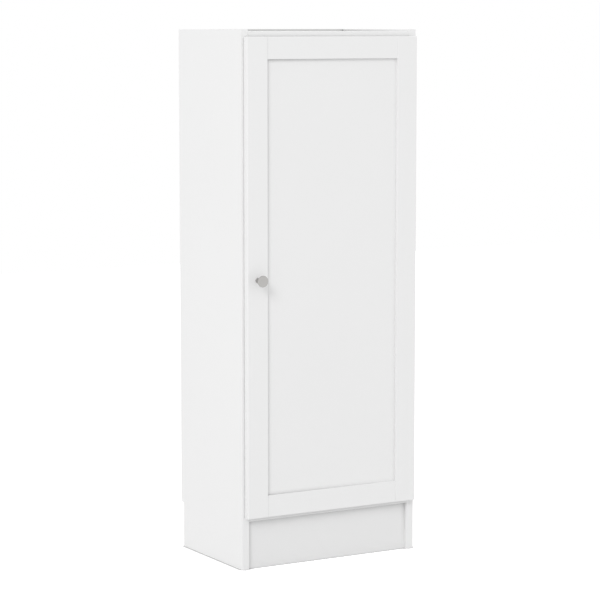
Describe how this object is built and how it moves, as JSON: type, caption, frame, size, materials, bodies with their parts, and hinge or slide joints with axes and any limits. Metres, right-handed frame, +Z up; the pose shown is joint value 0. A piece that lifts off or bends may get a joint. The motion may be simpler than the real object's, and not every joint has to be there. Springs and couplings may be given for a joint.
{
  "type": "narrow storage cabinet",
  "caption": "Tall narrow storage cabinet with a framed door on concealed hinges, shelves inside and a recessed plinth.",
  "frame": {"origin": "on the floor, under the middle of the whole cabinet from the knob's face to the back", "axes": "+X to the right seen from the front, +Y to the back, +Z up"},
  "size_m": [0.46, 0.3416, 1.22],
  "materials": {
    "white_foil": "white foil on particle board, matt",
    "white_board": "white-faced fibreboard, matt",
    "white_lacquer": "white lacquer on solid wood and fibreboard, satin",
    "beech": "bare, turned",
    "zinc_steel": "bright zinc plated",
    "die_cast_zinc": "die cast, dull",
    "nickel_steel": "nickel plated",
    "satin_nickel": "satin nickel",
    "soft_bumper": "clear soft plastic, matt"
  },
  "bodies": {
    "cabinet": {"left_side_panel": "white_foil", "right_side_panel": "white_foil", "top_panel": "white_foil", "bottom_panel": "white_foil", "fixed_shelf": "white_foil", "upper_shelf": "white_foil", "lower_shelf": "white_foil", "plinth_board": "white_foil", "back_panel": "white_board", "wood_dowels": "beech", "cam_bolts": "zinc_steel", "cam_locks": "die_cast_zinc", "back_panel_screws": "zinc_steel", "shelf_pins": "nickel_steel", "hinge_plates": "nickel_steel", "plate_screws": "zinc_steel", "hinge_arms": "nickel_steel", "arm_screws": "zinc_steel", "arm_pins": "zinc_steel"},
    "outer_links": {"outer_links": "nickel_steel"},
    "door": {"left_stile": "white_lacquer", "right_stile": "white_lacquer", "top_rail": "white_lacquer", "bottom_rail": "white_lacquer", "door_panel": "white_lacquer", "door_bumpers": "soft_bumper", "knob": "satin_nickel", "knob_screw": "zinc_steel", "hinge_cups": "nickel_steel", "cup_pins": "zinc_steel", "cup_screws": "zinc_steel"},
    "inner_links": {"inner_links": "nickel_steel"}
  },
  "joints": [
    {"name": "outer_links_on_arms", "type": "hinge", "parent": "cabinet", "child": "outer_links", "pos_m": [0.1806, -0.11705, 0.7515], "axis": [0, 0, 1], "range_deg": [-34.5, 0]},
    {"name": "door_on_outer_links", "type": "hinge", "parent": "outer_links", "child": "door", "pos_m": [0.21065, -0.13315, 0.7515], "axis": [0, 0, 1], "range_deg": [0, 129.3]},
    {"name": "inner_links_on_door", "type": "hinge", "parent": "door", "child": "inner_links", "pos_m": [0.20775, -0.13865, 0.7515], "axis": [0, 0, 1], "range_deg": [-118, 0]}
  ],
  "couplings": [
    {"joint": "outer_links_on_arms", "follows": "door_on_outer_links", "ratio": -0.26528},
    {"joint": "inner_links_on_door", "follows": "door_on_outer_links", "ratio": -0.90874}
  ]
}
